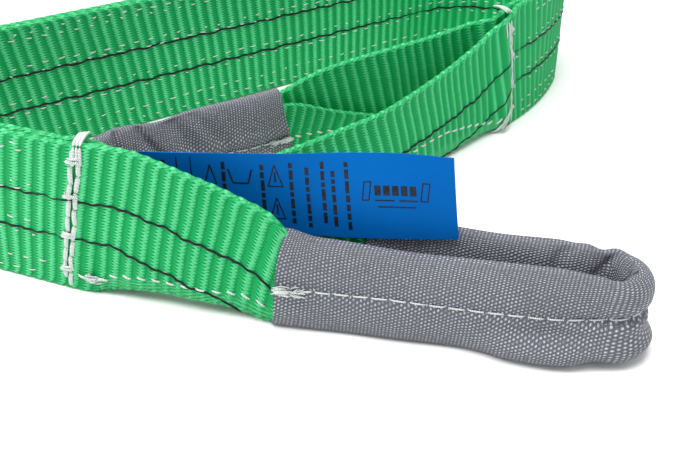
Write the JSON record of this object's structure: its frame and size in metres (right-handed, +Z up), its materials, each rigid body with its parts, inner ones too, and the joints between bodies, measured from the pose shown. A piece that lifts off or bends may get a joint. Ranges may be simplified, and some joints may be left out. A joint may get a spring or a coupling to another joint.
{
  "type": "flat web sling",
  "caption": "Flat two-ply lifting sling of green webbing with a sleeved eye at each end, standing on its edge in a loose coil.",
  "frame": {"origin": "middle of the footprint of the coiled sling, on the floor it stands on", "axes": "+X from the front bar to the tip of the front eye, +Z up across the width of the web, +Y towards the back of the coil"},
  "size_m": [0.3105, 0.2902, 0.06],
  "materials": {
    "web": "coarse woven polyester",
    "thread": "heavy white sewing thread",
    "marker_yarn": "black woven marker yarn",
    "sleeve": "grey woven wear sleeve",
    "label": "blue plastic label film, satin"
  },
  "bodies": {
    "front_run": {"outer_ply_front_run": "web", "inner_ply_front_run": "web", "seam_threads_front_run": "thread", "marker_yarns_front_run": "marker_yarn", "bar_stitch_front": "thread"},
    "left_bend_1": {"outer_ply_left_bend_1": "web", "inner_ply_left_bend_1": "web", "seam_threads_left_bend_1": "thread", "marker_yarns_left_bend_1": "marker_yarn"},
    "left_bend_2": {"outer_ply_left_bend_2": "web", "inner_ply_left_bend_2": "web", "seam_threads_left_bend_2": "thread", "marker_yarns_left_bend_2": "marker_yarn"},
    "left_bend_3": {"outer_ply_left_bend_3": "web", "inner_ply_left_bend_3": "web", "seam_threads_left_bend_3": "thread", "marker_yarns_left_bend_3": "marker_yarn"},
    "back_run": {"outer_ply_back_run": "web", "inner_ply_back_run": "web", "seam_threads_back_run": "thread", "marker_yarns_back_run": "marker_yarn"},
    "right_bend_1": {"outer_ply_right_bend_1": "web", "inner_ply_right_bend_1": "web", "seam_threads_right_bend_1": "thread", "marker_yarns_right_bend_1": "marker_yarn"},
    "right_bend_2": {"outer_ply_right_bend_2": "web", "inner_ply_right_bend_2": "web", "seam_threads_right_bend_2": "thread", "marker_yarns_right_bend_2": "marker_yarn"},
    "right_bend_3": {"outer_ply_right_bend_3": "web", "inner_ply_right_bend_3": "web", "seam_threads_right_bend_3": "thread", "marker_yarns_right_bend_3": "marker_yarn"},
    "right_bend_4": {"outer_ply_right_bend_4": "web", "inner_ply_right_bend_4": "web", "seam_threads_right_bend_4": "thread", "marker_yarns_right_bend_4": "marker_yarn"},
    "rear_run": {"outer_ply_rear_run": "web", "inner_ply_rear_run": "web", "seam_threads_rear_run": "thread", "marker_yarns_rear_run": "marker_yarn", "bar_stitch_rear": "thread"},
    "front_eye": {"front_eye_web": "web", "front_eye_sleeve": "sleeve", "front_eye_sleeve_seam": "thread", "front_eye_hem_stitch": "thread", "label_tab": "label"},
    "rear_eye": {"rear_eye_web": "web", "rear_eye_sleeve": "sleeve", "rear_eye_sleeve_seam": "thread", "rear_eye_hem_stitch": "thread"},
    "label": {"label": "label"}
  },
  "joints": [
    {"name": "left_bend_hinge_4", "type": "hinge", "parent": "back_run", "child": "left_bend_3", "pos_m": [-0.15159, -0.07486, 0.03], "axis": [0, 0, -1], "range_deg": [0, 30.62]},
    {"name": "left_bend_hinge_3", "type": "hinge", "parent": "left_bend_3", "child": "left_bend_2", "pos_m": [-0.15524, -0.09022, 0.03], "axis": [0, 0, -1], "range_deg": [0, 30.62]},
    {"name": "left_bend_hinge_2", "type": "hinge", "parent": "left_bend_2", "child": "left_bend_1", "pos_m": [-0.15056, -0.1053, 0.03], "axis": [0, 0, -1], "range_deg": [0, 30.62]},
    {"name": "left_bend_hinge_1", "type": "hinge", "parent": "left_bend_1", "child": "front_run", "pos_m": [-0.13885, -0.1159, 0.03], "axis": [0, 0, -1], "range_deg": [0, 30.62]},
    {"name": "right_bend_hinge_1", "type": "hinge", "parent": "back_run", "child": "right_bend_1", "pos_m": [0.05478, 0.13822, 0.03], "axis": [0, 0, 1], "range_deg": [0, 29.01]},
    {"name": "right_bend_hinge_2", "type": "hinge", "parent": "right_bend_1", "child": "right_bend_2", "pos_m": [0.07724, 0.14509, 0.03], "axis": [0, 0, 1], "range_deg": [0, 29.01]},
    {"name": "right_bend_hinge_3", "type": "hinge", "parent": "right_bend_2", "child": "right_bend_3", "pos_m": [0.10021, 0.14021, 0.03], "axis": [0, 0, 1], "range_deg": [0, 29.01]},
    {"name": "right_bend_hinge_4", "type": "hinge", "parent": "right_bend_3", "child": "right_bend_4", "pos_m": [0.11794, 0.1248, 0.03], "axis": [0, 0, 1], "range_deg": [0, 29.01]},
    {"name": "right_bend_hinge_5", "type": "hinge", "parent": "right_bend_4", "child": "rear_run", "pos_m": [0.12597, 0.10273, 0.03], "axis": [0, 0, 1], "range_deg": [0, 29.01]},
    {"name": "front_eye_hinge", "type": "hinge", "parent": "front_run", "child": "front_eye", "pos_m": [-0.04634, -0.13556, 0.03], "axis": [0, 0, -1], "range_deg": [-6, 75]},
    {"name": "rear_eye_hinge", "type": "hinge", "parent": "rear_run", "child": "rear_eye", "pos_m": [0.10211, 0.03611, 0.03], "axis": [0, 0, 1], "range_deg": [-12, 0]},
    {"name": "label_hinge", "type": "hinge", "parent": "front_eye", "child": "label", "pos_m": [-0.03454, -0.1316, 0.03], "axis": [0, 0, -1], "range_deg": [0, 2]}
  ],
  "couplings": [
    {"joint": "left_bend_hinge_3", "follows": "left_bend_hinge_4", "ratio": 1},
    {"joint": "left_bend_hinge_2", "follows": "left_bend_hinge_4", "ratio": 1},
    {"joint": "left_bend_hinge_1", "follows": "left_bend_hinge_4", "ratio": 1},
    {"joint": "right_bend_hinge_1", "follows": "left_bend_hinge_4", "ratio": 0.94693},
    {"joint": "right_bend_hinge_2", "follows": "left_bend_hinge_4", "ratio": 0.94693},
    {"joint": "right_bend_hinge_3", "follows": "left_bend_hinge_4", "ratio": 0.94693},
    {"joint": "right_bend_hinge_4", "follows": "left_bend_hinge_4", "ratio": 0.94693},
    {"joint": "right_bend_hinge_5", "follows": "left_bend_hinge_4", "ratio": 0.94693}
  ]
}
